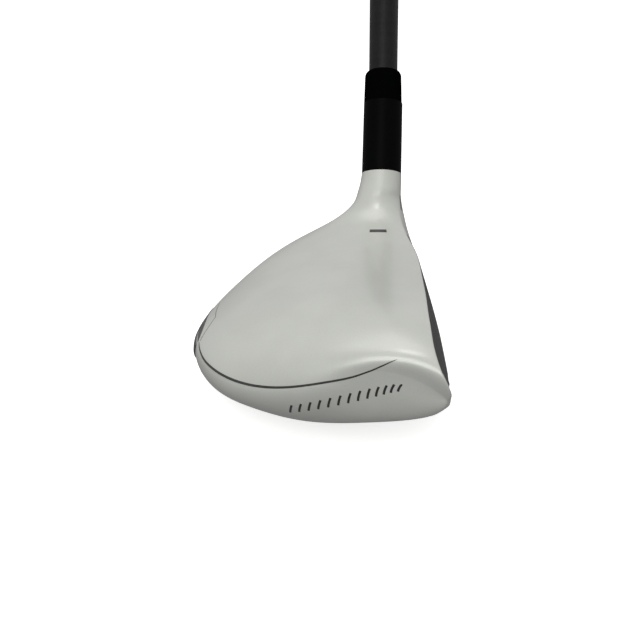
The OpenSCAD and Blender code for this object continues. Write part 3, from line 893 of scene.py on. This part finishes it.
def build_lines():
    """Painted and inlaid lines of the head, each a thin piece of its own."""
    inlay("crown_pinstripe", [crown_line(STRIPE)], PINSTRIPE)
    inlay("crown_fine_line", [crown_line(FINE)], FINE_LINE, lift=0.03)
    # plain alignment bar by the hosel, in place of the printed mark there
    inlay("crown_bar", [straight(*BAR)], INK, lift=0.03)
    # row of slanted ticks on the toe skirt, in place of the lettering there
    ticks = [straight(u, SKIRT + t, u + w, SKIRT + t - TICK_SHARE, TICK_WIDTH, 6)
             for u, t, w in smooth_path(TICK_ROW, TICK_STEPS)]
    inlay("skirt_ticks", ticks, INK, lift=0.03)
    # thin dark crescent on the face side of the neck, near the topline, in the same dark material as the ticks
    inlay("neck_dark_crescent", [straight(*NECK_DARK_CRESCENT, 12)], INK, lift=0.03)
    inlay("badge_edge", [crown_line(BADGE_EDGE)], MATERIALS["badge_dark"], lift=0.04)


# ---------------------------------------------------------------- shaft, ferrule, sleeve, grip
def heights(node, origin, direction):
    """Lowest and highest distance of a CAD node's vertices along a direction, metres."""
    co = np.array([v.co for v in frame["nodes"][node].data.vertices], float)
    along = (co - origin) @ direction
    return float(along.min()), float(along.max())


# all in metres
GRIP_BUTT_R = 0.0133
GRIP_MOUTH_R = 0.0093
GRIP_CORE_R = 0.0080
GRIP_ROW = 0.00075  # between two rows of points along the grip
GRIP_AROUND = 160
LIP_LONG, LIP_HIGH = 0.0022, 0.0004  # rolled edge at the mouth
GROOVE = 0.00045
GROOVE_SHARE = 0.34  # width of a groove as a share of half a diamond
DIAMONDS_AROUND = 20
DIAMOND_LONG = 0.0062
PLAIN_LONG = 0.026  # smooth band at the mouth; the one at the butt is a little shorter
FADE_LONG = 0.002
RING_HALF = 0.0006


def grip_height(a, h, length):
    """How far the grip's skin stands in from its plain taper at angle a and height h."""
    plain = PLAIN_LONG
    fade = min(1.0, max(0.0, (h - plain) / FADE_LONG))
    fade *= min(1.0, max(0.0, (length - plain * 0.7 - h) / FADE_LONG))
    x = a / (2 * math.pi) * DIAMONDS_AROUND
    y = h / DIAMOND_LONG
    cross = min(abs((x + y) % 1 - 0.5), abs((x - y) % 1 - 0.5)) * 2
    cut = max(0.0, 1 - cross / GROOVE_SHARE)
    band = 0.0
    for at in (plain * 0.45, plain * 0.62, length - plain * 0.42):
        band = max(band, 1 - abs(h - at) / RING_HALF)
    return GROOVE * max(fade * cut ** 0.7, band)


def grip_radius(h, length):
    """Plain taper of the grip, with its rolled edge at the mouth."""
    r = mix(GRIP_MOUTH_R, GRIP_BUTT_R, h / length)
    if h < LIP_LONG:
        r += LIP_HIGH * math.sin(math.pi * min(1, h / LIP_LONG + 0.25))
    return r


def build_grip():
    """Tapered grip with a cut diamond pattern, hollow for the shaft and its tape."""
    low, high = heights("grip_sleeve", SHAFT_TOP, SHAFT_AXIS)
    length = high - low
    place = axis_frame(SHAFT_TOP + SHAFT_AXIS * low, SHAFT_AXIS)
    rows = int(length / GRIP_ROW)
    n = GRIP_AROUND
    angles = [2 * math.pi * k / n for k in range(n)]
    verts, faces = [], []
    for i in range(rows + 1):
        h = length * i / rows
        r = grip_radius(h, length)
        for a in angles:
            rr = r - grip_height(a, h, length)
            verts.append(place @ Vector((rr * math.cos(a), rr * math.sin(a), h)))
    for h in (0.0, length):
        for a in angles:
            verts.append(place @ Vector((GRIP_CORE_R * math.cos(a), GRIP_CORE_R * math.sin(a), h)))
    core0, core1 = (rows + 1) * n, (rows + 2) * n
    for k in range(n):
        m = (k + 1) % n
        for i in range(rows):
            faces.append([i * n + k, i * n + m, (i + 1) * n + m, (i + 1) * n + k])
        faces.append([core0 + k, core0 + m, m, k])
        faces.append([rows * n + k, rows * n + m, core1 + m, core1 + k])
        faces.append([core1 + k, core1 + m, core0 + m, core0 + k])
    obj = sharpen(new_object("grip_skin", verts, faces, MATERIALS["grip_rubber"], scale=1), 50)
    return piece(obj, "shaft_assembly", "grip_rubber", "grip_sleeve")


CAP_EDGE, VENT_EDGE = 0.0015, 0.0005
CAP_RINGS = (0.0098, 0.0068)
# cross-section of a ring cut in the cap: place across, depth
CAP_CUT = ((0.0005, 0), (0.0002, GROOVE), (-0.0002, GROOVE), (-0.0005, 0))


def build_cap():
    """Domed end cap with two moulded rings and its vent hole."""
    low, high = heights("grip_cap", SHAFT_TOP, SHAFT_AXIS)
    place = axis_frame(SHAFT_TOP + SHAFT_AXIS * low, SHAFT_AXIS)
    h, r, vent = high - low, GRIP_BUTT_R, mounts["cap_vent"]["dims"]["r_mm"] * MM
    profile = [(vent, 0), (r, 0)] + arc(r - CAP_EDGE, h - CAP_EDGE, CAP_EDGE, 0, 90, 10)
    profile += [(at + across, h - depth) for at in CAP_RINGS for across, depth in CAP_CUT]
    profile += arc(vent + VENT_EDGE, h - VENT_EDGE, VENT_EDGE, 90, 180, 6)
    obj = sharpen(lathe("cap_skin", profile, place, MATERIALS["cap_rubber"]), 40)
    return piece(obj, "shaft_assembly", "cap_rubber", "grip_cap")


# CAD nodes that keep their own mesh, and their material slots
CARRIED = {
    "hosel_liner": "liner_steel", "hosel_screw": "screw_steel", "screw_washer": "washer_steel",
    "screw_retainer": "retainer_black", "adapter_sleeve": "sleeve_black", "ferrule_ring": "ferrule_black",
    "shaft": "shaft_graphite", "tip_plug": "plug_cork", "grip_tape": "tape_paper",
}


def dress_frame():
    """Gives the carried-over nodes their materials."""
    for node, slot in CARRIED.items():
        mesh = frame["nodes"][node].data
        if not mesh.materials:
            mesh.materials.append(None)
        for k in range(len(mesh.materials)):
            mesh.materials[k] = MATERIALS[slot]


# ---------------------------------------------------------------- studio
CAMERA_AT = (-0.0237, -0.2623, 0.1332)
CAMERA_RIGHT = (0.9995, 0.0, 0.0332)
CAMERA_UP = (-0.0298, 0.4384, 0.8983)
CAMERA_BACK = (-0.0145, -0.8988, 0.4381)
LENS, SENSOR = 49.5, 36.0
CLIP = (0.005, 50.0)


def add_camera():
    data = bpy.data.cameras.new("camera")
    data.lens, data.sensor_width = LENS, SENSOR
    data.clip_start, data.clip_end = CLIP
    cam = bpy.data.objects.new("camera", data)
    cam.matrix_world = placement(CAMERA_RIGHT, CAMERA_UP, CAMERA_BACK, CAMERA_AT)
    bpy.context.scene.collection.objects.link(cam)
    bpy.context.scene.camera = cam


# name, place, size, power in watts; every light faces AIM
LIGHTS = (
    ("key", (-0.05, -0.2, 0.95), 0.22, 0.9),
    ("front", (-0.35, -1.2, 0.8), 0.8, 7.0),
    ("top", (-0.2, 0.25, 1.2), 0.9, 3.0),
)
AIM = Vector((0, -0.03, 0.03))


def add_area(name, at, size, power):
    data = bpy.data.lights.new(name, "AREA")
    data.energy, data.size = power, size
    light = bpy.data.objects.new(name, data)
    light.location = at
    light.rotation_euler = (AIM - Vector(at)).to_track_quat("-Z", "Y").to_euler()
    bpy.context.scene.collection.objects.link(light)


SKY = 0.60  # strength of the dome overhead, and below the horizon
GROUND = 0.22
HORIZON = (-0.35, 0.45)  # heights between which one runs into the other
BACKDROP = 1.0


def add_world():
    """White to the camera; for light, a bright soft dome over a dimmer lower half."""
    world = bpy.data.worlds.new("studio")
    world.use_nodes = True
    bpy.context.scene.world = world
    t = world.node_tree
    t.nodes.clear()
    out = t.nodes.new("ShaderNodeOutputWorld")
    mixer = t.nodes.new("ShaderNodeMixShader")
    path = t.nodes.new("ShaderNodeLightPath")
    dome, seen = t.nodes.new("ShaderNodeBackground"), t.nodes.new("ShaderNodeBackground")
    where = t.nodes.new("ShaderNodeTexCoord")
    split = t.nodes.new("ShaderNodeSeparateXYZ")
    rise = t.nodes.new("ShaderNodeMapRange")
    rise.interpolation_type = "SMOOTHSTEP"
    t.links.new(where.outputs["Generated"], split.inputs[0])
    t.links.new(split.outputs["Z"], rise.inputs["Value"])
    for k, v in zip(("From Min", "From Max", "To Min", "To Max"), (*HORIZON, GROUND, SKY)):
        rise.inputs[k].default_value = v
    t.links.new(rise.outputs["Result"], dome.inputs["Strength"])
    seen.inputs["Strength"].default_value = BACKDROP
    for node in (dome, seen):
        node.inputs["Color"].default_value = (1.0, 1.0, 1.0, 1.0)
    t.links.new(path.outputs["Is Camera Ray"], mixer.inputs["Fac"])
    t.links.new(dome.outputs[0], mixer.inputs[1])
    t.links.new(seen.outputs[0], mixer.inputs[2])
    t.links.new(mixer.outputs[0], out.inputs["Surface"])


FLOOR_HALF = 6.0


def add_floor():
    half = FLOOR_HALF
    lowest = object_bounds()[0][2]
    bm = bmesh.new()
    for x, y in ((-half, -half), (half, -half), (half, half), (-half, half)):
        bm.verts.new((x, y, lowest))
    bm.faces.new(bm.verts)
    mesh = bpy.data.meshes.new("floor")
    bm.to_mesh(mesh)
    bm.free()
    mesh.materials.append(floor_material())
    floor = bpy.data.objects.new("floor", mesh)
    floor.visible_diffuse = False
    floor.visible_glossy = False
    bpy.context.scene.collection.objects.link(floor)


def build_studio():
    add_camera()
    add_world()
    add_floor()
    for light in LIGHTS:
        add_area(*light)
    bpy.context.scene.view_settings.view_transform = "Standard"
    bpy.context.scene.view_settings.look = "None"


build_shell()
build_crown()
build_face()
build_badge()
build_lines()
build_grip()
build_cap()
dress_frame()
build_studio()
